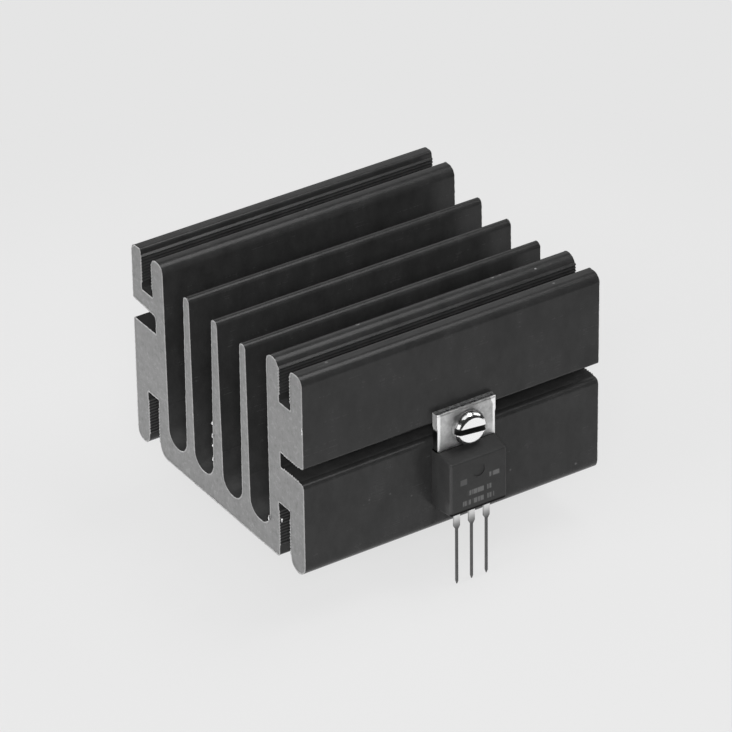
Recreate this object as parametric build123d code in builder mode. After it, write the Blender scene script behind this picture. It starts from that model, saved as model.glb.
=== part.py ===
import os

from build123d import *

os.makedirs("parts", exist_ok=True)

# Extrusion as a whole: X across the profile, Y along it, Z up from the underside
length = 50.0
width = 45.3
height = 32.9

# Plates and walls beside the slots, from the outer face inwards
left_plate = 2.55
left_wall = 3.0
right_plate = 3.05
right_wall = 3.1
left_foot = 3.25
right_foot = 3.7
plate_round = 1.3
left_slot_round = 0.4
right_slot_round = 0.9
wall_round = 1.45
left_wall_slot_round = 1.05
left_foot_round = 1.55
right_foot_round = 1.8

# Trough with its fins: the left wall and all fins grow thicker towards the floor
floor_level = 3.65
floor_round = 2.4
left_wall_swell = 0.35
fin_drop = 2.0
fin_pitch = 7.5
fin_tip = 1.5
outer_fin_root = 2.25
middle_fin_root = 2.75
fin_tip_round = 0.72
base_left_round = 2.0
base_right_round = 0.7

# Serrated screw slots, two from the top and two from below, toothed to a metric thread
screw_diameter = 3.0
thread_pitch = 0.5
thread_depth = 0.3
top_slot_depth = 6.65
bottom_slot_depth = 9.3
top_slot_lead = 0.95
bottom_slot_lead = 1.95
slot_relief = 1.1
slot_corner = 0.25

# Screw groove in the right face and the plain guide groove in the left face
groove_level = 16.75
groove_width = 2.5
groove_depth = 6.0
groove_tooth = 0.25
groove_lead = 1.2
groove_relief = 0.7
groove_upper_lip = 0.5
groove_lower_lip = 0.75
guide_drop = 12.45
guide_inner_height = 2.9
guide_mouth_height = 3.3
guide_depth = 6.15
guide_corner = 0.6
guide_lip = 0.4

# Transistor package: its screw's place along the groove, then levels from the hole up and down
screw_y = 1.5
tab_rise = 0.2
hole_gap = 0.1
tab_thickness = 1.27
tab_width = 10.0
hole_to_top = 3.05
ear_height = 2.2
ear_step = 0.12
ear_slope = 0.4
tab_roll = 0.3
hole_to_moulding = 3.05
moulding_drift = -0.2
moulding_height = 9.47
moulding_width = 9.9
moulding_thickness = 4.5
moulding_side_draft = 0.2
moulding_top_draft = 0.6
moulding_bottom_draft = 0.25
moulding_round = 0.3
heel_width = 8.4
heel_margin = 0.8
heel_lap = 0.5
dimple_diameter = 2.1
dimple_depth = 0.12
dimple_below_top = 2.8

# Leads, stamped from the thin part of the same strip as the tab
lead_pitch = 2.54
lead_stand_off = 2.6
lead_thickness = 0.32
leg_width = 0.34
lead_length = 12.73
shoulder_width = 1.0
shoulder_length = 2.84
shoulder_taper = 0.57
tip_length = 0.5
tip_width = 0.12
pad_width = 2.0
pad_height = 1.7
pad_rise = 1.1
neck_rise = 0.7
neck_slope = 1.7

# Die on the tab and the two wires from it to the outer leads
die_size = 2.8
die_thickness = 0.35
die_rise = 5.02
wire_diameter = 0.3
wire_start_y = 0.7
wire_start_drop = 0.6
wire_loop = 0.7
wire_sink = 0.12

# Screw that holds the tab and cuts its own thread in the groove
screw_length = 6.0
screw_end_bevel = 0.4
head_diameter = 5.3
head_height = 1.6
head_side_height = 0.9
head_face_diameter = 3.9
drive_width = 0.95
drive_depth = 0.85
drive_turn = -6.0

half = width / 2
fin_top = height - fin_drop
guide_floor = height - guide_drop
slot_width = screw_diameter
left_slot_x = -half + left_plate + slot_width / 2
right_slot_x = half - right_plate - slot_width / 2
left_trough_x = -half + left_plate + slot_width + left_wall
right_trough_x = half - right_plate - slot_width - right_wall
trough_x = (left_trough_x + right_trough_x) / 2
left_foot_slot_x = -half + left_foot + slot_width / 2
right_foot_slot_x = half - right_foot - slot_width / 2

hole_level = groove_level + tab_rise
hole_diameter = screw_diameter + 2 * (tab_rise + hole_gap)
tab_top = hole_level + hole_to_top
tab_front = half + tab_thickness
moulding_y = screw_y + moulding_drift
moulding_top = hole_level - hole_to_moulding
moulding_bottom = moulding_top - moulding_height
heel_bottom = moulding_bottom + heel_margin
lead_x = half + lead_stand_off
lead_end = moulding_bottom - lead_length
die_level = moulding_bottom + die_rise
pad_level = moulding_bottom + pad_rise + pad_height / 2
screw_end = tab_front - screw_length
tab_plane = Plane(origin=(half, screw_y, 0), x_dir=(0, 1, 0), z_dir=(1, 0, 0))
moulding_plane = Plane(origin=(half, moulding_y, 0), x_dir=(0, 1, 0), z_dir=(1, 0, 0))
screw_plane = Plane(origin=(tab_front, screw_y, groove_level), x_dir=(0, 1, 0), z_dir=(1, 0, 0))


def plain_slot(depth, gap):
    """Section of a slot that opens upwards at y = 0 and closes at y = -depth."""
    with BuildSketch() as slot:
        Rectangle(gap, depth, align=(Align.CENTER, Align.MAX))
        fillet(slot.vertices().group_by(Axis.Y)[0], slot_corner)
    return slot.sketch


def slot_teeth(depth, gap, tooth, lead, relief):
    """Section of the teeth on both walls of such a slot, which the slot is cut for before they are added.

    The first one slopes in at the lead, and they stop before the relief at the closed end.
    Behind their roots they reach into the walls by as much as they stand out of them.
    """
    root = gap / 2
    corners = [(root + tooth, -lead), (root, -lead)]
    for count in range(int((depth - lead - relief) / thread_pitch)):
        level = -lead - count * thread_pitch
        corners.append((root - tooth, level - thread_pitch / 2))
        corners.append((root, level - thread_pitch))
    corners.append((root + tooth, level - thread_pitch))
    with BuildSketch() as comb:
        with BuildLine():
            Polyline(*corners, close=True)
        make_face()
        mirror(about=Plane.YZ)
    return comb.sketch


def channel(left_low, right_low, left_high, right_high):
    """Section of one channel between fins, from its round floor up to the fin tips."""
    with BuildSketch() as gap:
        with BuildLine():
            Polyline(
                (left_low, floor_level),
                (right_low, floor_level),
                (right_high, fin_top),
                (left_high, fin_top),
                close=True,
            )
        make_face()
        rounding = min(floor_round, 0.48 * (right_low - left_low))
        fillet(gap.vertices().group_by(Axis.Y)[0], rounding)
    return gap.sketch


def corners_near(sketch, *places):
    """The corners of a sketch that lie nearest to the given places."""
    return [sketch.vertices().sort_by_distance(Vector(*place))[0] for place in places]


def lead_leg(offset):
    """Shoulder, leg and pointed tip of one lead, its top end inside the moulding."""
    lead_y = moulding_y + offset
    shoulder_end = moulding_bottom - shoulder_length
    tip_start = lead_end + tip_length
    with BuildPart() as leg:
        with BuildSketch(Plane(origin=(lead_x, lead_y, 0), x_dir=(0, 1, 0), z_dir=(1, 0, 0))):
            with BuildLine():
                Polyline(
                    (0, moulding_bottom + neck_rise),
                    (shoulder_width / 2, moulding_bottom + neck_rise),
                    (shoulder_width / 2, shoulder_end),
                    (leg_width / 2, shoulder_end - shoulder_taper),
                    (leg_width / 2, tip_start),
                    (0, tip_start),
                )
                mirror(about=Plane.YZ)
            make_face()
        extrude(amount=lead_thickness / 2, both=True)
        with BuildSketch(Plane.XY.offset(tip_start)):
            with Locations((lead_x, lead_y)):
                Rectangle(lead_thickness, leg_width)
        with BuildSketch(Plane.XY.offset(lead_end)):
            with Locations((lead_x, lead_y)):
                Rectangle(tip_width, tip_width)
        loft()
    return leg.part


# Heat sink: the profile is drawn as seen on its near sawn end, then run out to both ends
top_slot = plain_slot(top_slot_depth, slot_width)
top_teeth = slot_teeth(top_slot_depth, slot_width, thread_depth, top_slot_lead, slot_relief)
bottom_slot = plain_slot(bottom_slot_depth, slot_width)
bottom_teeth = slot_teeth(bottom_slot_depth, slot_width, thread_depth, bottom_slot_lead, slot_relief)
screw_groove = plain_slot(groove_depth, groove_width)
groove_teeth = slot_teeth(groove_depth, groove_width, groove_tooth, groove_lead, groove_relief)

with BuildSketch() as guide:
    with BuildLine():
        Polyline(
            (-half, guide_floor),
            (-half + guide_depth, guide_floor),
            (-half + guide_depth, guide_floor + guide_inner_height),
            (-half, guide_floor + guide_mouth_height),
            close=True,
        )
    make_face()
    fillet(guide.vertices().group_by(Axis.X)[-1].sort_by(Axis.Y)[-1], guide_corner)

fins = [trough_x - fin_pitch, trough_x, trough_x + fin_pitch]
roots = [outer_fin_root, middle_fin_root, outer_fin_root]

with BuildPart() as heat_sink:
    with BuildSketch(Plane.XZ) as section:
        Rectangle(width, height, align=(Align.CENTER, Align.MIN))
        # channels between the fins, then the open space above the fins
        left_low = left_trough_x + left_wall_swell
        left_high = left_trough_x
        for fin, root in zip(fins, roots):
            add(channel(left_low, fin - root / 2, left_high, fin - fin_tip / 2), mode=Mode.SUBTRACT)
            left_low = fin + root / 2
            left_high = fin + fin_tip / 2
        add(channel(left_low, right_trough_x, left_high, right_trough_x), mode=Mode.SUBTRACT)
        with Locations((left_trough_x, fin_top)):
            Rectangle(
                right_trough_x - left_trough_x,
                height - fin_top,
                align=(Align.MIN, Align.MIN),
                mode=Mode.SUBTRACT,
            )
        # slots and grooves, still without teeth
        with Locations((left_slot_x, height), (right_slot_x, height)):
            add(top_slot, mode=Mode.SUBTRACT)
        with Locations((left_foot_slot_x, 0), (right_foot_slot_x, 0)):
            add(bottom_slot, rotation=180, mode=Mode.SUBTRACT)
        with Locations((half, groove_level)):
            add(screw_groove, rotation=-90, mode=Mode.SUBTRACT)
        add(guide.sketch, mode=Mode.SUBTRACT)
        # rounded tops of the plates, walls and fins
        tops = section.vertices().group_by(Axis.Y)[-1].sort_by(Axis.X)
        fillet(tops[:1] + tops[7:], plate_round)
        fillet(corners_near(section, tops[1]), left_slot_round)
        fillet(corners_near(section, tops[6]), right_slot_round)
        fillet(corners_near(section, tops[2]), left_wall_slot_round)
        fillet(corners_near(section, *tops[3:6]), wall_round)
        tips = []
        for fin in fins:
            tips += corners_near(section, (fin - fin_tip / 2, fin_top), (fin + fin_tip / 2, fin_top))
        fillet(tips, fin_tip_round)
        # rounded feet of the plates and lower corners of the base
        feet = section.vertices().group_by(Axis.Y)[0].sort_by(Axis.X)
        fillet(corners_near(section, *feet[:2]), left_foot_round)
        fillet(corners_near(section, feet[2]), base_left_round)
        fillet(corners_near(section, feet[3]), base_right_round)
        fillet(corners_near(section, *feet[4:]), right_foot_round)
        # lips of the grooves
        fillet(corners_near(section, (half, groove_level - groove_width / 2)), groove_lower_lip)
        fillet(corners_near(section, (half, groove_level + groove_width / 2)), groove_upper_lip)
        fillet(corners_near(section, (-half, guide_floor)), guide_lip)
        # teeth of the slots and of the screw groove
        with Locations((left_slot_x, height), (right_slot_x, height)):
            add(top_teeth)
        with Locations((left_foot_slot_x, 0), (right_foot_slot_x, 0)):
            add(bottom_teeth, rotation=180)
        with Locations((half, groove_level)):
            add(groove_teeth, rotation=-90)
    extrude(amount=length / 2, both=True)
    # thread that the screw has cut in the two walls of its groove
    with BuildSketch(screw_plane.offset(screw_end - tab_front)):
        Circle(screw_diameter / 2)
    extrude(amount=screw_length, mode=Mode.SUBTRACT)
heat_sink.part.label = "heat_sink"
export_step(heat_sink.part, "parts/heat_sink.step")

# Tab and middle lead, one stamping: a thick plate with two ears, and a neck up to the lead's level
with BuildPart() as tab:
    with BuildSketch(tab_plane):
        with BuildLine():
            Polyline(
                (0, tab_top),
                (tab_width / 2, tab_top),
                (tab_width / 2, tab_top - ear_height),
                (tab_width / 2 - ear_step, tab_top - ear_height - ear_slope),
                (tab_width / 2 - ear_step, moulding_top - heel_lap),
                (heel_width / 2, moulding_top - heel_lap),
                (heel_width / 2, heel_bottom),
                (0, heel_bottom),
            )
            mirror(about=Plane.YZ)
        make_face()
        with Locations((0, hole_level)):
            Circle(hole_diameter / 2, mode=Mode.SUBTRACT)
    extrude(amount=tab_thickness)
    # rolled edge that the stamping left round the front of the bare plate
    rim = tab.edges().filter_by_position(Axis.X, tab_front - 0.01, tab_front + 0.01)
    rim = rim.filter_by(GeomType.LINE).filter_by(lambda edge: edge.center().Z > moulding_top - heel_lap + 0.1)
    fillet(rim, tab_roll)
    neck_bottom = moulding_bottom + neck_rise
    neck_back = lead_stand_off - lead_thickness / 2
    neck_front = lead_stand_off + lead_thickness / 2
    with BuildSketch(Plane(origin=(half, moulding_y, 0), x_dir=(1, 0, 0), z_dir=(0, -1, 0))):
        with BuildLine():
            Polyline(
                (neck_back, neck_bottom),
                (neck_front, neck_bottom),
                (neck_front, neck_bottom + lead_thickness / 2),
                (tab_thickness, neck_bottom + neck_slope + lead_thickness / 2),
                (tab_thickness / 2, neck_bottom + neck_slope),
                (tab_thickness, neck_bottom + neck_slope - lead_thickness),
                (neck_back, neck_bottom),
                close=True,
            )
        make_face()
    extrude(amount=shoulder_width / 2, both=True)
    add(lead_leg(0))
tab.part.label = "transistor_tab"
export_step(tab.part, "parts/transistor_tab.step")

# Outer leads, each with a wide pad inside the moulding
sides = {"near": -1, "far": 1}
outer_leads = {}
for name, side in sides.items():
    with BuildPart() as outer_lead:
        add(lead_leg(side * lead_pitch))
        with BuildSketch(moulding_plane.offset(lead_stand_off)):
            with Locations((side * lead_pitch, moulding_bottom + neck_rise)):
                Rectangle(shoulder_width, pad_rise - neck_rise, align=(Align.CENTER, Align.MIN))
            with Locations((side * lead_pitch, pad_level)):
                Rectangle(pad_width, pad_height)
        extrude(amount=lead_thickness / 2, both=True)
    outer_lead.part.label = f"transistor_lead_{name}"
    export_step(outer_lead.part, f"parts/transistor_lead_{name}.step")
    outer_leads[name] = outer_lead.part

# Silicon die, soldered on the front of the tab
with BuildPart() as die:
    with BuildSketch(moulding_plane.offset(tab_thickness)):
        with Locations((0, die_level)):
            Rectangle(die_size, die_size)
    extrude(amount=die_thickness)
die.part.label = "transistor_die"
export_step(die.part, "parts/transistor_die.step")

# Two bond wires, each one bow from the die's face out and down to a lead's pad
bond_wires = {}
for name, side in sides.items():
    start_x = tab_front + die_thickness - wire_sink
    end_x = lead_x + lead_thickness / 2 - wire_sink
    start = Vector(start_x, moulding_y + side * wire_start_y, die_level - wire_start_drop)
    end = Vector(end_x, moulding_y + side * lead_pitch, pad_level)
    crown = Vector(end_x + wire_loop, (start.Y + end.Y) / 2, (start.Z + end.Z) / 2)
    with BuildPart() as bond_wire:
        with BuildLine() as bow:
            ThreePointArc(start, crown, end)
        with BuildSketch(Plane(origin=bow.line @ 0, z_dir=bow.line % 0)):
            Circle(wire_diameter / 2)
        sweep()
        add(die.part, mode=Mode.SUBTRACT)
        add(outer_leads[name], mode=Mode.SUBTRACT)
    bond_wire.part.label = f"bond_wire_{name}"
    export_step(bond_wire.part, f"parts/bond_wire_{name}.step")
    bond_wires[name] = bond_wire.part

# Moulded body, cast round the heel of the tab, the die, the wires and the tops of the leads
with BuildPart() as moulding:
    with BuildSketch(moulding_plane):
        with Locations((0, moulding_bottom)):
            Rectangle(moulding_width, moulding_height, align=(Align.CENTER, Align.MIN))
    extrude(amount=tab_thickness)
    with BuildSketch(moulding_plane.offset(tab_thickness)):
        with Locations((0, moulding_bottom)):
            Rectangle(moulding_width, moulding_height, align=(Align.CENTER, Align.MIN))
    with BuildSketch(moulding_plane.offset(moulding_thickness)):
        with Locations((0, moulding_bottom + moulding_bottom_draft)):
            Rectangle(
                moulding_width - 2 * moulding_side_draft,
                moulding_height - moulding_bottom_draft - moulding_top_draft,
                align=(Align.CENTER, Align.MIN),
            )
    loft()
    rounded = moulding.edges().filter_by(lambda edge: edge.center().X > tab_front + moulding_round)
    fillet(rounded, moulding_round)
    with BuildSketch(moulding_plane.offset(moulding_thickness)):
        with Locations((0, moulding_top - dimple_below_top)):
            Circle(dimple_diameter / 2)
    extrude(amount=-dimple_depth, mode=Mode.SUBTRACT)
    add(tab.part, mode=Mode.SUBTRACT)
    add(die.part, mode=Mode.SUBTRACT)
    for name in sides:
        add(outer_leads[name], mode=Mode.SUBTRACT)
        add(bond_wires[name], mode=Mode.SUBTRACT)
moulding.part.label = "transistor_moulding"
export_step(moulding.part, "parts/transistor_moulding.step")

# Screw: a slotted pan head on a plain shank as wide as its thread
with BuildPart() as screw:
    screw_axis = Axis((tab_front, screw_y, groove_level), (1, 0, 0))
    with BuildSketch(Plane(origin=screw_axis.position, x_dir=(1, 0, 0), z_dir=(0, -1, 0))):
        with BuildLine():
            Polyline(
                (head_height, head_face_diameter / 2),
                (head_height, 0),
                (-screw_length, 0),
                (-screw_length, screw_diameter / 2 - screw_end_bevel),
                (screw_end_bevel - screw_length, screw_diameter / 2),
                (0, screw_diameter / 2),
                (0, head_diameter / 2),
                (head_side_height, head_diameter / 2),
            )
            TangentArc(
                (head_side_height, head_diameter / 2),
                (head_height, head_face_diameter / 2),
                tangent=(1, 0),
            )
        make_face()
    revolve(axis=screw_axis)
    with BuildSketch(screw_plane.offset(head_height)):
        Rectangle(2 * head_diameter, drive_width, rotation=drive_turn)
    extrude(amount=-drive_depth, mode=Mode.SUBTRACT)
screw.part.label = "tab_screw"
export_step(screw.part, "parts/tab_screw.step")
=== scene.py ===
import math

import bmesh
import bpy
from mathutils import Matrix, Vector


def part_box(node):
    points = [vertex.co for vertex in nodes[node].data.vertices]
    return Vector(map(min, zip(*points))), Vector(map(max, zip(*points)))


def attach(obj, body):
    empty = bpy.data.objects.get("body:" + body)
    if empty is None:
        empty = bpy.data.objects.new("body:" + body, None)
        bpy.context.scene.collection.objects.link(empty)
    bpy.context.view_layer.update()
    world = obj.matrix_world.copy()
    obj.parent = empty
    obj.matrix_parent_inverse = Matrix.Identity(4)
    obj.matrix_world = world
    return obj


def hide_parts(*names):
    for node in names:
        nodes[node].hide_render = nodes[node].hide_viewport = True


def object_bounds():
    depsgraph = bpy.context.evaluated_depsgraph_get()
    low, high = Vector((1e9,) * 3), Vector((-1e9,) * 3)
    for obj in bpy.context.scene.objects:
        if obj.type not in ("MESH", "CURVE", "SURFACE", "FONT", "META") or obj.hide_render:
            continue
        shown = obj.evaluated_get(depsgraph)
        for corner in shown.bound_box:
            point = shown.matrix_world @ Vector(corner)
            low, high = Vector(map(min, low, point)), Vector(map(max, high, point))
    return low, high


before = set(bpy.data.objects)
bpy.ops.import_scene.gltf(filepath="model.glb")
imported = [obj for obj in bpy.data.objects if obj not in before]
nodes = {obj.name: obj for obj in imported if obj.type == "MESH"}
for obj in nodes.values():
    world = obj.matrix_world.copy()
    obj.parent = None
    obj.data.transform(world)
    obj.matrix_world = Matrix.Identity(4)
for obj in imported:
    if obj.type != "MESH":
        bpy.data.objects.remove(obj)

cad_low, cad_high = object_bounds()
scene = bpy.context.scene

# Studio: a small pale table in a dark room, seen from the right front corner and above with a long lens.
# The leads of the transistor hang below the profile, so the table lies just under their tips. Places and
# sizes are in metres here, and in millimetres in the sections of the pieces.
MM = 0.001
CAMERA_PLACE = (0.5675233, -0.3645001, 0.4331712)
CAMERA_TURN = (58.1892015, 0.6918931, 56.8528131)
CAMERA_LENS = 271.084
SENSOR_WIDTH = 36.0
TABLE_LEVEL = cad_low.z - 0.1 * MM
TABLE_REACH = 0.13
TABLE_CORNERS = 96
PAPER = 0.8
SHADE_SHARE = 0.13
SHADE_FADES = (0.95 * TABLE_REACH, 0.6 * TABLE_REACH)
BACKGROUND = 0.783
MIRRORED = 1.0
ROOM = 0.03

camera_data = bpy.data.cameras.new("camera")
camera_data.lens = CAMERA_LENS
camera_data.sensor_width = SENSOR_WIDTH
camera_data.clip_start = 0.05
camera_data.clip_end = 20.0
camera = bpy.data.objects.new("camera", camera_data)
camera.location = CAMERA_PLACE
camera.rotation_euler = [math.radians(angle) for angle in CAMERA_TURN]
scene.collection.objects.link(camera)
scene.camera = camera
scene.view_settings.view_transform = "Standard"


class Field:
    """A value on a surface, held by a node's socket. Arithmetic on it adds Math nodes."""

    def __init__(self, socket):
        self.socket = socket

    def node(self, kind, settings=None, inputs=None, output=0):
        """Adds a node beside this one, with its settings first and then its values and links."""
        tree = self.socket.id_data
        added = tree.nodes.new("ShaderNode" + kind)
        for name, value in (settings or {}).items():
            setattr(added, name, value)
        for name, value in (inputs or {}).items():
            if isinstance(value, Field):
                tree.links.new(value.socket, added.inputs[name])
            else:
                added.inputs[name].default_value = value
        return Field(added.outputs[output])

    def math(self, operation, *values):
        """A Math node on the values, which are fields or numbers."""
        return self.node("Math", {"operation": operation}, dict(enumerate(values)))

    def __add__(self, other):
        return self.math("ADD", self, other)

    def __sub__(self, other):
        return self.math("SUBTRACT", self, other)

    def __rsub__(self, other):
        return self.math("SUBTRACT", other, self)

    def __mul__(self, other):
        return self.math("MULTIPLY", self, other)

    def __gt__(self, other):
        return self.math("GREATER_THAN", self, other)

    def __lt__(self, other):
        return self.math("LESS_THAN", self, other)

    def __or__(self, other):
        return self.math("MAXIMUM", self, other)

    def __abs__(self):
        return self.math("ABSOLUTE", self)

    __radd__ = __add__
    __rmul__ = __mul__

    def within(self, low, high):
        """1 between low and high, 0 elsewhere."""
        return (self > low) * (self < high)

    def near(self, middle, reach):
        """1 less than reach away from the middle, 0 elsewhere."""
        return abs(self - middle) < reach

    def ramp(self, low, high):
        """0 up to low, 1 from high, smooth between them."""
        return self.node(
            "MapRange",
            {"interpolation_type": "SMOOTHSTEP"},
            {"Value": self, "From Min": low, "From Max": high},
        )

    def band(self, middle, outer, inner):
        """1 less than inner away from the middle, 0 from outer on, smooth between them."""
        return abs(self - middle).ramp(outer, inner)

    def colours(self, low, high):
        """The colour low where this is 0 and high where it is 1."""
        return self.node("Mix", {"data_type": "RGBA"}, {0: self, 6: low, 7: high}, output=2)

    def tone(self):
        """The grey of this brightness."""
        return self.colours(grey(0.0), grey(1.0))

    def scaled(self, *factors):
        """A vector times one factor for each axis."""
        return self.node("VectorMath", {"operation": "MULTIPLY"}, {0: self, 1: factors})

    def noise(self, size, detail=2.0, rough=0.5):
        """Soft noise from 0 to 1 whose lumps are about size across, on a vector in millimetres."""
        return self.node(
            "TexNoise", {}, {"Vector": self, "Scale": 1.0 / size, "Detail": detail, "Roughness": rough}
        )


def grey(level):
    """The colour of this grey level."""
    return (level, level, level, 1.0)


# The table is matt paper. The camera and polished metal see it at one even tone, with a part of the
# shade that falls on it, and from below it can't be seen at all.
table_paper = bpy.data.materials.new("table_paper")
table_paper.use_nodes = True
table_nodes = table_paper.node_tree.nodes
table_nodes.remove(table_nodes["Principled BSDF"])
seen = Field(table_nodes.new("ShaderNodeLightPath").outputs["Is Camera Ray"])
glossy = Field(seen.socket.node.outputs["Is Glossy Ray"])
through = Field(seen.socket.node.outputs["Is Transmission Ray"])
paper = seen.node("BsdfDiffuse", {}, {"Color": grey(PAPER)})
even_tone = glossy.colours(grey(BACKGROUND), grey(MIRRORED))
even = seen.node("Emission", {}, {"Color": even_tone, "Strength": 1.0})
spread = seen.node("TexCoord", output="Object")
across = spread.node("VectorMath", {"operation": "LENGTH"}, {0: spread}, output=1)
shade_share = SHADE_SHARE * across.ramp(*SHADE_FADES)
shaded = seen.node("MixShader", {}, {0: shade_share, 1: even, 2: paper})
from_above = seen.node("MixShader", {}, {0: seen | glossy | through, 1: paper, 2: shaded})
below = seen.node("NewGeometry", output="Backfacing")
clear = seen.node("BsdfTransparent")
both_sides = seen.node("MixShader", {}, {0: below, 1: from_above, 2: clear})
table_paper.node_tree.links.new(both_sides.socket, table_nodes["Material Output"].inputs["Surface"])

table_mesh = bpy.data.meshes.new("table")
turns = [math.tau * step / TABLE_CORNERS for step in range(TABLE_CORNERS)]
table_edge = [(TABLE_REACH * math.cos(turn), TABLE_REACH * math.sin(turn), TABLE_LEVEL) for turn in turns]
table_mesh.from_pydata(table_edge, [], [range(TABLE_CORNERS)])
table_mesh.materials.append(table_paper)
table = bpy.data.objects.new("table", table_mesh)
scene.collection.objects.link(table)

# The room behind the lamps is nearly black, and the camera sees the table's even tone instead of it.
world = bpy.data.worlds.new("studio")
scene.world = world
world.use_nodes = True
world_nodes = world.node_tree.nodes
room = Field(world_nodes["Background"].outputs[0])
seen = Field(world_nodes.new("ShaderNodeLightPath").outputs["Is Camera Ray"])
lit = room.node("Background", {}, {"Color": grey(ROOM), "Strength": 1.0})
plain = room.node("Background", {}, {"Color": grey(BACKGROUND), "Strength": 1.0})
backdrop = room.node("MixShader", {}, {0: seen, 1: lit, 2: plain})
world.node_tree.links.new(backdrop.socket, world_nodes["World Output"].inputs["Surface"])


def softbox(name, place, size, radiance, aim=(0.0, 0.0, 0.0), mirrored=True):
    """A rectangular cloth-fronted lamp that faces the aim, with the given brightness of its cloth.

    One that isn't mirrored is a fill that only dull surfaces show.
    """
    lamp_data = bpy.data.lights.new(name, "AREA")
    lamp_data.shape = "RECTANGLE"
    lamp_data.size, lamp_data.size_y = size
    lamp_data.energy = radiance * math.pi * size[0] * size[1]
    lamp = bpy.data.objects.new(name, lamp_data)
    lamp.location = place
    lamp.rotation_euler = (Vector(place) - Vector(aim)).to_track_quat("Z", "Y").to_euler()
    lamp.visible_camera = False
    lamp.visible_glossy = mirrored
    scene.collection.objects.link(lamp)


softbox("lamp_front_left", (-0.44, -0.46, 0.10), (0.42, 0.42), 3.9)
softbox("lamp_front_fill", (0.12, -0.90, 0.30), (0.5, 0.5), 9.0, mirrored=False)
softbox("lamp_front_card", (0.15, -0.60, 0.125), (0.6, 0.3), 1.2)
softbox("lamp_behind_camera", (0.92, -0.59, 0.75), (1.2, 1.2), 0.6, mirrored=False)
softbox("lamp_by_camera", (0.74, -0.475, 0.545), (0.36, 0.36), 14.0, mirrored=False)
softbox("lamp_overhead", (0.06, 0.095, 0.30), (0.22, 0.09), 6.8, aim=(0.06, 0.0, 0.0))
softbox("lamp_over_front", (0.06, -0.06, 0.30), (0.20, 0.20), 1.0, aim=(0.03, 0.0, 0.0))
softbox("lamp_left_behind", (-0.65, 0.45, 0.40), (0.6, 0.6), 0.75)
softbox("lamp_behind", (0.02, 0.52, 0.32), (0.5, 0.40), 1.6)

# Heat sink: one aluminium extrusion, anodised black in the bar and then sawn off at both ends, so the
# black skin shows faint die lines along the bar and the two sawn ends are bare metal with the saw's marks.
HALF_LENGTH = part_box("heat_sink")[1].y / MM
# A point this near to a face counts as on it
TOUCH = 0.01
# Brightness of the black skin and of the sawn metal, and depth of their relief
SKIN = 0.0225
BARE = 0.255
RELIEF = 0.02
SKIN_IOR = 1.26
# Slots, guide groove and channels of the profile: middles and reach across it, and levels
TOP_SLOTS = (-18.6, 18.1)
TOP_SLOT_REACH = 1.65
TOP_SLOT_LEVELS = (24.5, 31.62)
FOOT_SLOTS = (-17.9, 17.45)
CREST_REACH = 1.34
FOOT_SLOT_LEVEL = 8.2
GUIDE_INSIDE = -16.4
GUIDE_LEVELS = (20.3, 23.9)
CHANNEL_REACH = 14.0
CHANNEL_LOW = 1.0
# Knocks through the skin: place, radius and how far they are through it
KNOCKS = (
    ((14.6, -10.6, 32.8), 0.42, 0.9),
    ((14.7, 12.1, 32.8), 0.34, 0.9),
    ((14.7, 13.4, 32.8), 0.22, 0.5),
    ((15.9, 18.7, 32.8), 0.24, 0.6),
    ((20.9, 18.3, 32.9), 0.26, 0.6),
    ((20.7, -19.7, 32.9), 0.30, 0.5),
    ((-16.3, 0.6, 32.8), 0.34, 0.6),
    ((22.65, 21.2, 2.5), 0.24, 0.3),
    ((22.65, 9.8, 5.6), 0.22, 0.2),
    ((22.65, 17.9, 17.4), 0.22, 0.2),
    ((22.65, -7.1, 7.4), 0.20, 0.2),
    ((22.65, -14.2, 9.3), 0.20, 0.2),
    ((22.65, -10.7, 9.0), 0.18, 0.2),
)


def shader_material(name):
    """A material whose shader is Blender's own, and its surface coordinates in millimetres."""
    material = bpy.data.materials.new(name)
    material.use_nodes = True
    shader = material.node_tree.nodes["Principled BSDF"]
    coordinates = material.node_tree.nodes.new("ShaderNodeTexCoord")
    place = Field(coordinates.outputs["Object"]).scaled(1 / MM, 1 / MM, 1 / MM)
    return material, shader, place


def axis_values(vector):
    """The three values of a vector, each as a field."""
    first = vector.node("SeparateXYZ", {}, {"Vector": vector})
    return [Field(socket) for socket in first.socket.node.outputs]


def join(shader, **fields):
    """Links fields to sockets of a shader; an underscore in a name stands for a space."""
    for name, field in fields.items():
        shader.id_data.links.new(field.socket, shader.inputs[name.replace("_", " ")])


def bumped(height, depth):
    """The normals of a surface whose relief is height, from 0 to 1, times depth in millimetres."""
    return height.node("Bump", {}, {"Height": height, "Distance": depth * MM, "Strength": 1.0})


def either(across, middles, reach):
    """1 within reach of one of two middles, 0 elsewhere."""
    left, right = middles
    return across.near(left, reach) + across.near(right, reach)


anodised, shader, place = shader_material("black_anodised_extrusion")
x, y, z = axis_values(place)
bare = abs(y) > HALF_LENGTH - TOUCH
guide_groove = (x < GUIDE_INSIDE) * z.within(*GUIDE_LEVELS)
top_slots = either(x, TOP_SLOTS, TOP_SLOT_REACH) * z.within(*TOP_SLOT_LEVELS)
channels = x.near(0.0, CHANNEL_REACH) * (1 - bare) * (z > CHANNEL_LOW)
# Painted light: how far down in the channels the skin is lightened.
painted_channel_light = channels * z.ramp(20.0, 6.0)
crests = either(x, FOOT_SLOTS, CREST_REACH) * (z < FOOT_SLOT_LEVEL) * (1 - bare)
dull = (guide_groove + 1.7 * top_slots + channels * z.ramp(10.0, 7.0)) * (1 - bare)
die_lines = place.scaled(1.0, 0.02, 1.0).noise(0.5, 3.0, 0.7)
mottle = place.scaled(1.0, 0.7, 0.4).noise(2.4, 6.0, 0.75)
pores = place.noise(0.14, 2.0, 0.6)
crumbs = place.noise(0.3, 2.0, 0.6)
raw = bare
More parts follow.
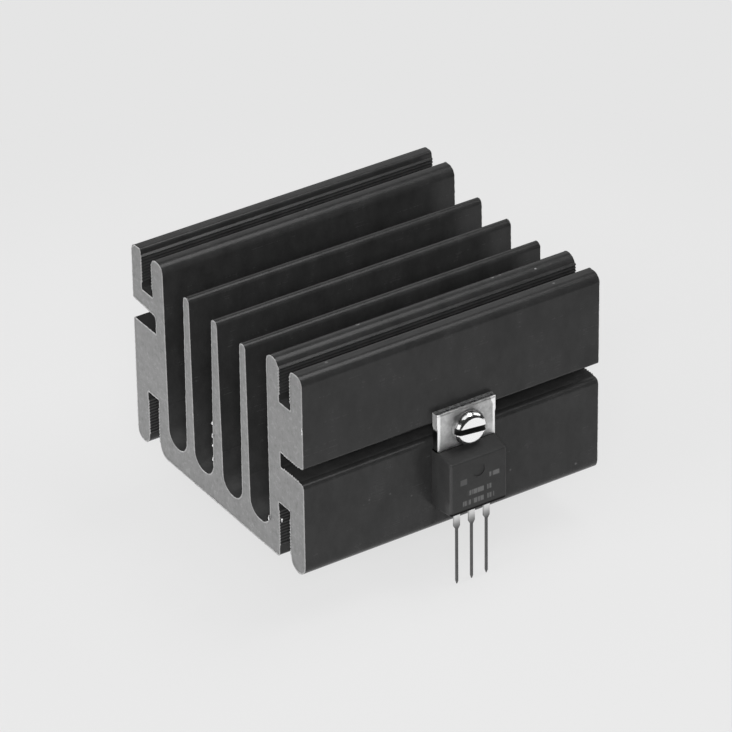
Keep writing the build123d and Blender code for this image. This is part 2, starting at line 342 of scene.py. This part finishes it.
for centre, radius, depth in KNOCKS:
    away = place.node("VectorMath", {"operation": "DISTANCE"}, {0: place, 1: centre}, output=1)
    raw = raw | depth * (away * (1 / radius) + crumbs).ramp(1.4, 1.0)
skin = SKIN * (0.20 + 1.3 * mottle + 0.3 * pores)
# Painted shade and light: the skin is darker inside the guide groove and lighter deep down in the channels.
skin = skin * (1 - 0.35 * guide_groove) * (1 + 0.5 * painted_channel_light + 1.3 * crests)
saw_marks = place.scaled(1.0, 1.0, 0.12).noise(0.18, 3.0, 0.65)
cloud = place.noise(1.8, 6.0, 0.8)
flecks = place.noise(0.55, 2.0, 0.5)
flecks = flecks.ramp(0.58, 0.68) - 0.8 * flecks.ramp(0.40, 0.30)
metal = BARE * (0.47 + 0.75 * cloud + 0.3 * saw_marks + 0.18 * flecks)
skin_rough = 0.22 + 0.05 * mottle + 0.04 * die_lines + 0.3 * dull
skin_relief = 0.35 * die_lines + 0.4 * pores + 0.6 * mottle
join(
    shader,
    Base_Color=raw.colours(skin.tone(), metal.tone()),
    Metallic=raw,
    Roughness=(1 - bare) * skin_rough + bare * (0.42 + 0.12 * cloud),
    Normal=bumped((1 - bare) * skin_relief + bare * saw_marks, RELIEF),
)
shader.inputs["IOR"].default_value = SKIN_IOR
nodes["heat_sink"].material_slots[0].material = anodised

# Saw burr: a thin ragged ridge of bright metal that the saw turned up round the outline of both sawn ends.
# It is part of the extrusion. A few larger flakes of it hang on at the near end, curled off the face.
# Ridge: half width, distance in from the outline, height off the sawn face, and step along it
BURR_HALF_WIDTH = 0.15
BURR_INSET = 0.11
BURR_HEIGHT = 0.035
BURR_STEP = 0.22
BURR_CORNERS = 5
BURR_SEED = 7
# Its thickness wanders between these shares, as the noise goes through its range
LUMPS_PER_METRE = 1800.0
NOISE_RANGE = (0.35, 0.75)
THINNEST = 0.6
THICKEST = 1.5
FACES_THE_END = 0.99
# Flakes: x, z, length, width, and lean out of the sawn face in degrees
FLAKES = (
    (22.70, 24.9, 0.62, 0.42, 10.0),
    (22.68, 24.2, 0.50, 0.26, 20.0),
    (-1.35, 13.3, 0.55, 0.24, 60.0),
    (-1.40, 11.2, 0.70, 0.28, 35.0),
    (-1.40, 9.5, 0.45, 0.22, 70.0),
    (-1.45, 7.2, 0.60, 0.26, 45.0),
    (13.45, 5.3, 0.80, 0.34, 30.0),
    (17.1, 6.9, 0.22, 0.80, 4.0),
)
# Form of a flake: rows along it, taper of its ends, and curl and lift as shares of its width
FLAKE_ROWS = 6
FLAKE_TAPER = 0.12
FLAKE_CURL = 0.22
FLAKE_LIFT = 0.35
FLAKE_THICK_EDGE = 0.05
FLAKE_THIN_EDGE = 0.03
FLAKE_OFFSET = 0.02

bright_burr, shader, place = shader_material("bright_saw_burr")
y = axis_values(place)[1]
ragged = place.noise(0.3, 3.0, 0.7)
lifted = abs(y).ramp(HALF_LENGTH + 0.04, HALF_LENGTH + 0.08)
join(
    shader,
    Base_Color=(0.26 + 0.32 * ragged + 0.5 * lifted).tone(),
    Metallic=1 - 0.9 * lifted,
    Roughness=0.36 + 0.2 * ragged,
    Normal=bumped(place.noise(0.06), RELIEF),
)


def new_object(name, mesh, material):
    """An object in the scene that shows the mesh in one material."""
    added = bpy.data.objects.new(name, mesh)
    mesh.materials.clear()
    mesh.materials.append(material)
    scene.collection.objects.link(added)
    return added


def sawn_outline(node, inset):
    """The edges where the sawn ends of a node meet its skin, drawn in by the inset, as a mesh of edges."""
    merged = bmesh.new()
    merged.from_mesh(node.data)
    bmesh.ops.remove_doubles(merged, verts=merged.verts, dist=0.001 * MM)
    merged.normal_update()
    corners = {}
    pairs = []
    for edge in merged.edges:
        ends = [face for face in edge.link_faces if abs(face.normal.y) > FACES_THE_END]
        level = min(abs(corner.co.y) for corner in edge.verts)
        if len(ends) == 1 and len(edge.link_faces) == 2 and level > (HALF_LENGTH - TOUCH) * MM:
            pairs.append([corners.setdefault(corner.index, len(corners)) for corner in edge.verts])
    merged.verts.ensure_lookup_table()
    places = []
    for index in corners:
        corner = merged.verts[index]
        outward = Vector()
        for face in corner.link_faces:
            if abs(face.normal.y) < 0.5:
                outward += face.normal.normalized()
        places.append(corner.co - outward.normalized() * inset * MM)
    merged.free()
    outline = bpy.data.meshes.new("sawn_outline")
    outline.from_pydata(places, pairs, [])
    return outline


def ragged_tube_tree(material):
    """Geometry nodes that turn a mesh of edges into a tube whose thickness wanders at random."""
    tree = bpy.data.node_groups.new("ragged_tube", "GeometryNodeTree")
    sockets = tree.interface
    sockets.new_socket("Geometry", in_out="OUTPUT", socket_type="NodeSocketGeometry")
    sockets.new_socket("Geometry", in_out="INPUT", socket_type="NodeSocketGeometry")
    names = {}
    kinds = {"Radius": "Float", "Step": "Float", "Corners": "Int", "Lumps": "Float", "Seed": "Int"}
    for name, kind in kinds.items():
        added = sockets.new_socket(name, in_out="INPUT", socket_type="NodeSocket" + kind)
        names[name] = added.identifier

    def add(kind, settings=None, **inputs):
        added = tree.nodes.new(kind)
        for name, value in (settings or {}).items():
            setattr(added, name, value)
        for name, value in inputs.items():
            socket = added.inputs[name.replace("_", " ")]
            if isinstance(value, bpy.types.NodeSocket):
                tree.links.new(value, socket)
            else:
                socket.default_value = value
        return added

    given = add("NodeGroupInput").outputs
    curve = add("GeometryNodeMeshToCurve", Mesh=given["Geometry"]).outputs["Curve"]
    resampled = add("GeometryNodeResampleCurve", {"mode": "LENGTH"}, Curve=curve, Length=given["Step"])
    where = add("GeometryNodeInputPosition").outputs["Position"]
    lumps = add(
        "ShaderNodeTexNoise",
        {"noise_dimensions": "4D"},
        Vector=where,
        W=given["Seed"],
        Scale=given["Lumps"],
        Detail=3.0,
    )
    share = add(
        "ShaderNodeMapRange",
        Value=lumps.outputs[0],
        From_Min=NOISE_RANGE[0],
        From_Max=NOISE_RANGE[1],
        To_Min=THINNEST,
        To_Max=THICKEST,
    )
    radius = add("ShaderNodeMath", {"operation": "MULTIPLY"})
    tree.links.new(share.outputs["Result"], radius.inputs[0])
    tree.links.new(given["Radius"], radius.inputs[1])
    ring = add("GeometryNodeCurvePrimitiveCircle", Resolution=given["Corners"], Radius=1.0)
    tube = add(
        "GeometryNodeCurveToMesh",
        Curve=resampled.outputs["Curve"],
        Profile_Curve=ring.outputs["Curve"],
        Scale=radius.outputs[0],
    )
    whole = add("GeometryNodeRealizeInstances", Geometry=tube.outputs["Mesh"])
    done = add("GeometryNodeSetMaterial", Geometry=whole.outputs["Geometry"], Material=material)
    add("NodeGroupOutput", Geometry=done.outputs["Geometry"])
    return tree, names


tree, names = ragged_tube_tree(bright_burr)
saw_burr = new_object("saw_burr", sawn_outline(nodes["heat_sink"], BURR_INSET), bright_burr)
modifier = saw_burr.modifiers.new("ragged_tube", "NODES")
modifier.node_group = tree
modifier[names["Radius"]] = BURR_HALF_WIDTH * MM
modifier[names["Step"]] = BURR_STEP * MM
modifier[names["Corners"]] = BURR_CORNERS
modifier[names["Lumps"]] = LUMPS_PER_METRE
modifier[names["Seed"]] = BURR_SEED
dressed = saw_burr.evaluated_get(bpy.context.evaluated_depsgraph_get())
burr_mesh = bpy.data.meshes.new_from_object(dressed)
saw_burr.modifiers.clear()
saw_burr.data = burr_mesh
for corner in burr_mesh.vertices:
    end = math.copysign(HALF_LENGTH * MM, corner.co.y)
    corner.co.y = end + (corner.co.y - end) * BURR_HEIGHT / BURR_HALF_WIDTH
burr_mesh.polygons.foreach_set("use_smooth", [True] * len(burr_mesh.polygons))
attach(saw_burr, "root")


def curled_flake(shape, x, z, length, width, lean):
    """Adds one closed flake, tapered to both ends, that stands on the sawn face and curls away from it."""
    lean = math.radians(lean)
    lift = FLAKE_LIFT * width
    rows = []
    for step in range(FLAKE_ROWS + 1):
        share = step / FLAKE_ROWS
        half = 0.5 * width * math.sin(math.pi * (FLAKE_TAPER + (1 - 2 * FLAKE_TAPER) * share))
        curl = FLAKE_CURL * width * math.sin(math.pi * share)
        section = (
            (-half, 0.0),
            (half, lift),
            (half, lift + FLAKE_THICK_EDGE),
            (-half, -FLAKE_THIN_EDGE),
        )
        row = []
        for across, rise in section:
            out = across * math.sin(lean) + rise * math.cos(lean) + curl + FLAKE_OFFSET
            side = across * math.cos(lean) - rise * math.sin(lean)
            level = z + length * (share - 0.5)
            row.append(shape.verts.new(((x + side) * MM, -(HALF_LENGTH + out) * MM, level * MM)))
        rows.append(row)
    for first, second in zip(rows, rows[1:]):
        for corner in range(4):
            after = (corner + 1) % 4
            shape.faces.new((first[corner], first[after], second[after], second[corner]))
    shape.faces.new(rows[0][::-1])
    shape.faces.new(rows[-1])


shape = bmesh.new()
for flake in FLAKES:
    curled_flake(shape, *flake)
bmesh.ops.recalc_face_normals(shape, faces=shape.faces)
flake_mesh = bpy.data.meshes.new("saw_flakes")
shape.to_mesh(flake_mesh)
shape.free()
saw_flakes = new_object("saw_flakes", flake_mesh, bright_burr)
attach(saw_flakes, "root")

# Transistor tab and leads: copper strip, stamped and tinned. The tab's faces are dull from the tinning, its
# rolled edges carry a painted highlight, and the sheared top edge is torn. The shoulders of the leads carry
# a painted highlight towards the top, and the thin legs are darker.
HEAD_HEIGHT = 1.6
EDGE_MIDDLE = 1.44
EDGE_REACH = (4.48, 4.66)
EAR_HEIGHT = 2.8
LEG_TOP = 1.1
SHOULDER_LEVELS = (1.4, 3.3)
TIN_RELIEF = 0.03
tab_low, tab_high = [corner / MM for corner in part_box("transistor_tab")]
body_low, body_high = [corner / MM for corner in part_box("transistor_moulding")]
screw_low, screw_high = [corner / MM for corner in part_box("tab_screw")]
axis_y = 0.5 * (screw_low.y + screw_high.y)
axis_z = 0.5 * (screw_low.z + screw_high.z)
tab_front = screw_high.x - HEAD_HEIGHT

tinned, shader, place = shader_material("tinned_copper_strip")
x, y, z = axis_values(place)
clouds = place.noise(0.9, 4.0, 0.65)
grain = place.noise(0.12, 2.0, 0.6)
torn = place.scaled(1.0, 0.6, 1.0).noise(0.25, 3.0, 0.7)
sheared = z > tab_high.z - 2 * TOUCH
on_tab = z > body_high.z - 0.4
# Painted light: the band just above the moulding, where the tab's tone is raised; it is also rougher there.
near_moulding = z.ramp(body_high.z + 2.3, body_high.z + 0.3)
side = (y < tab_low.y + 0.14) * (x < tab_front - 0.28)
cut_side = side * z.ramp(tab_high.z - EAR_HEIGHT - 0.2, tab_high.z - EAR_HEIGHT + 0.2)
widened = 0.35 * z.ramp(tab_high.z - 1.4, tab_high.z) * (y > axis_y)
# Painted highlight: a brighter rim along the rounded rolled edges of the tab's front.
painted_rim_highlight = on_tab * (abs(y - EDGE_MIDDLE) + 0.25 * torn + widened).ramp(*EDGE_REACH) * (1 - sheared)
groove = x.band(tab_front - 0.5, 0.26, 0.08)
top_edge = z.ramp(tab_high.z - 0.36, tab_high.z - 0.24) * (1 - sheared) * (x > tab_front - 0.4)
out_y = y - axis_y
out_z = z - axis_z
halo = (out_y * out_y + out_z * out_z).ramp(15.0, 9.0)
# Painted light and highlight: the tone is raised just above the moulding and along the rims.
front = 0.16 + 0.54 * clouds + 0.45 * near_moulding + 0.5 * painted_rim_highlight + 0.1 * y.ramp(2.0, -1.0)
# Painted shade: the tab's side face below the ear is darkened nearly to black.
front = front * (1 - 0.9 * (side * (1 - cut_side)))
tab_tone = front * (1 - sheared) + sheared * (torn - 0.22 - 0.14 * groove)
# Painted highlight: the shoulders of the leads are lighter towards the top; the thin legs below are darker.
leg = z.ramp(LEG_TOP + 0.6, LEG_TOP)
lead_tone = 0.19 + 0.58 * z.ramp(*SHOULDER_LEVELS) - 0.11 * leg + 0.1 * clouds
rough = 0.30 + 0.16 * grain + 0.42 * (sheared + cut_side) + 0.3 * top_edge
join(
    shader,
    Base_Color=on_tab.colours(lead_tone.tone(), tab_tone.tone()),
    Roughness=rough + 0.2 * near_moulding + 0.12 * halo,
    Normal=bumped(0.5 * clouds + 0.3 * grain + sheared * torn * 2.0, TIN_RELIEF),
)
shader.inputs["Metallic"].default_value = 1.0
for name in ("transistor_tab", "transistor_lead_near", "transistor_lead_far"):
    nodes[name].material_slots[0].material = tinned

# Moulded body: black epoxy, cast round the heel of the tab. Its faces carry the fine spark-eroded grain of
# the mould. The print on its front is plain: three rows of short grey bars, broken at random lengths, and
# one small grey block.
BODY_IOR = 1.4
GRAIN_RELIEF = 0.025
INK = 0.11
# Rows of bars: level, outer and inner half height, middle and half length
PRINT_ROWS = (
    (6.22, 0.50, 0.30, 1.25, 2.7),
    (7.76, 0.50, 0.30, 1.45, 2.2),
    (9.70, 0.46, 0.28, 3.95, 0.9),
)
BLOCK_Y = -1.25
BLOCK_Z = 9.85

epoxy, shader, place = shader_material("black_epoxy_moulding")
x, y, z = axis_values(place)
grain = place.noise(0.1, 2.0, 0.6)
patches = place.noise(1.6, 3.0, 0.6)
bars = place.scaled(1.0, 1.0, 0.02).noise(0.5, 1.0, 0.5).ramp(0.36, 0.44)
block = y.band(BLOCK_Y, 0.62, 0.5) * z.band(BLOCK_Z, 0.52, 0.4)
printed = 0.5 * block
for level, outer, inner, middle, reach in PRINT_ROWS:
    printed = printed + z.band(level, outer, inner) * y.band(middle, reach, reach - 0.1) * bars
printed = printed * (x > body_high.x - 2 * TOUCH) * (0.45 + 0.9 * grain)
# Painted highlight: a lighter band down the front left edge of the body.
painted_edge_highlight = y.band(body_low.y + 0.28, 0.34, 0.16) * (x > body_high.x - 0.4) * z.ramp(5.0, 5.8)
# The side face towards the near end is lighter low down towards the front.
lighter_low_side = (y < body_low.y + 0.2) * z.ramp(7.4, 6.0) * x.ramp(25.4, 26.4)
# Painted shade: the top face is darker, and made metal-like so that it mirrors little.
top = z > body_high.z - 2 * TOUCH
# Painted shadow: the lowest strip of the front is darkened and made metal-like, for the shade under the
# body.
foot = z.ramp(body_low.z + 0.85, body_low.z + 0.6) * (x > body_high.x - 0.3)
shade = 0.010 + 0.014 * patches + 0.006 * grain + 0.010 * painted_edge_highlight + 0.012 * lighter_low_side - 0.010 * top
join(
    shader,
    Base_Color=printed.colours((shade * (1 - 0.5 * foot)).tone(), grey(INK)),
    Metallic=foot | top,
    Roughness=0.50 + 0.16 * grain + 0.2 * top,
    Normal=bumped(grain, GRAIN_RELIEF),
)
shader.inputs["IOR"].default_value = BODY_IOR
nodes["transistor_moulding"].material_slots[0].material = epoxy

# Die and bond wires, sealed inside the moulding: a chip of silicon, soldered on the tab by its dull metal
# back, and two drawn aluminium wires, welded to its face and to the leads.
DIE_TONES = ((0.05, 0.05, 0.07, 1.0), (0.12, 0.12, 0.16, 1.0))

silicon, shader, place = shader_material("silicon_die")
join(
    shader,
    Base_Color=place.noise(0.6).colours(*DIE_TONES),
    Roughness=0.2 + 0.2 * place.noise(0.3),
)
shader.inputs["Metallic"].default_value = 0.8
nodes["transistor_die"].material_slots[0].material = silicon

wire, shader, place = shader_material("drawn_bond_wire")
join(
    shader,
    Base_Color=place.noise(0.2).colours(grey(0.6), grey(0.75)),
    Roughness=0.25 + 0.2 * place.noise(0.1),
)
shader.inputs["Metallic"].default_value = 1.0
for name in ("bond_wire_near", "bond_wire_far"):
    nodes[name].material_slots[0].material = wire

# Screw: a slotted pan head of bright plated steel, turned and then rolled with a fine thread. The plating
# is bright on the head, and the slot is painted dark, a painted shade in its recess.
FACE_RADIUS = 1.85
SIDE_HEIGHT = 0.45
CREST = 1.49
ROOT = 1.20
PITCH = 0.5
POINT_SHARE = 0.75
POINT_LENGTH = 0.25
NECK_LENGTH = 0.35
RUN_IN = 0.6
RUN_OUT = 0.3
THREAD_STEPS = 100
# Lower edge of the head: rise from its base, and how far inside the full radius
HEAD_EDGE = ((0.0, 0.08), (0.03, 0.02), (0.10, 0.0))
DOME_STEPS = 24
ROUND_STEPS = 96
DRIVE_WIDTH = 0.95
DRIVE_DEPTH = 0.85
DRIVE_TURN = math.radians(-6.0)
DRIVE_REACH = 4.0
PLATING_RELIEF = 0.01
SHARP_ANGLE = math.radians(35)
head_base = tab_front
head_radius = 0.5 * (screw_high.y - screw_low.y)

# Sections of the screw from its end to its face: place on the axis, radius and share of the thread's height
thread_start = screw_low.x + POINT_LENGTH
thread_end = head_base - NECK_LENGTH
sections = [(screw_low.x, POINT_SHARE * ROOT, 0.0)]
for step in range(THREAD_STEPS + 1):
    along = thread_start + (thread_end - thread_start) * step / THREAD_STEPS
    share = min(1.0, (along - thread_start) / RUN_IN, (thread_end - along) / RUN_OUT)
    sections.append((along, ROOT, share))
sections.append((head_base, ROOT, 0.0))
for rise, inside in HEAD_EDGE:
    sections.append((head_base + rise, head_radius - inside, 0.0))
dome_height = screw_high.x - head_base - SIDE_HEIGHT
for step in range(DOME_STEPS + 1):
    turn = 0.5 * math.pi * step / DOME_STEPS
    along = head_base + SIDE_HEIGHT + dome_height * math.sin(turn)
    sections.append((along, FACE_RADIUS + (head_radius - FACE_RADIUS) * math.cos(turn), 0.0))

shape = bmesh.new()
rings = []
for along, radius, thread in sections:
    ring = []
    for step in range(ROUND_STEPS):
        turn = math.tau * step / ROUND_STEPS
        phase = ((along - PITCH * step / ROUND_STEPS) / PITCH) % 1.0
        reach = radius + thread * (CREST - ROOT) * (1 - abs(2 * phase - 1))
        out = (axis_y + reach * math.cos(turn), axis_z + reach * math.sin(turn))
        ring.append(shape.verts.new((along * MM, out[0] * MM, out[1] * MM)))
    rings.append(ring)
for first, second in zip(rings, rings[1:]):
    for step in range(ROUND_STEPS):
        after = (step + 1) % ROUND_STEPS
        shape.faces.new((first[step], first[after], second[after], second[step]))
shape.faces.new(rings[0][::-1])
shape.faces.new(rings[-1])
bmesh.ops.recalc_face_normals(shape, faces=shape.faces)
screw_mesh = bpy.data.meshes.new("screw")
shape.to_mesh(screw_mesh)
shape.free()

plated, shader, place = shader_material("bright_plated_steel")
x, y, z = axis_values(place)
out_y = y - axis_y
out_z = z - axis_z
sunk = screw_high.x - x
across = abs(out_y * -math.sin(DRIVE_TURN) + out_z * math.cos(DRIVE_TURN))
slot_floor = (across < 0.5 * DRIVE_WIDTH - TOUCH) * sunk.within(TOUCH, DRIVE_DEPTH + 0.1)
slot_walls = (across < 0.5 * DRIVE_WIDTH + TOUCH) * sunk.within(0.06, 0.9)
# Painted shade: the slot's walls and floor are near-black, rougher and less metallic.
in_slot = slot_floor | slot_walls
grain = place.noise(0.15, 3.0, 0.6)
join(
    shader,
    Base_Color=in_slot.colours(grain.colours(grey(0.80), grey(0.90)), grey(0.05)),
    Metallic=1 - 0.2 * in_slot,
    Roughness=0.10 + 0.10 * grain + 0.4 * in_slot,
    Normal=bumped(0.3 * grain, PLATING_RELIEF),
)

# The drive slot is sawn across the head, here by a flat block as wide as the saw.
corners = []
for level in (screw_high.x - DRIVE_DEPTH, screw_high.x + 1.0):
    for along, share in ((-1, -0.5), (1, -0.5), (1, 0.5), (-1, 0.5)):
        reach = along * DRIVE_REACH
        wide = share * DRIVE_WIDTH
        side = reach * math.cos(DRIVE_TURN) - wide * math.sin(DRIVE_TURN)
        lift = reach * math.sin(DRIVE_TURN) + wide * math.cos(DRIVE_TURN)
        corners.append((level * MM, (axis_y + side) * MM, (axis_z + lift) * MM))
cutter_faces = ((0, 1, 2, 3), (7, 6, 5, 4), (0, 4, 5, 1), (1, 5, 6, 2), (2, 6, 7, 3), (3, 7, 4, 0))
shape = bmesh.new()
cutter_corners = [shape.verts.new(corner) for corner in corners]
for face in cutter_faces:
    shape.faces.new([cutter_corners[index] for index in face])
bmesh.ops.recalc_face_normals(shape, faces=shape.faces)
cutter_mesh = bpy.data.meshes.new("drive_slot")
shape.to_mesh(cutter_mesh)
shape.free()

screw = new_object("slotted_screw", screw_mesh, plated)
cutter = new_object("drive_slot", cutter_mesh, plated)
modifier = screw.modifiers.new("drive_slot", "BOOLEAN")
modifier.operation = "DIFFERENCE"
modifier.solver = "EXACT"
modifier.object = cutter
cut_mesh = bpy.data.meshes.new_from_object(screw.evaluated_get(bpy.context.evaluated_depsgraph_get()))
screw.modifiers.clear()
screw.data = cut_mesh
bpy.data.objects.remove(cutter)
cut_mesh.polygons.foreach_set("use_smooth", [True] * len(cut_mesh.polygons))
cut_mesh.set_sharp_from_angle(angle=SHARP_ANGLE)
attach(screw, "root")
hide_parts("tab_screw")
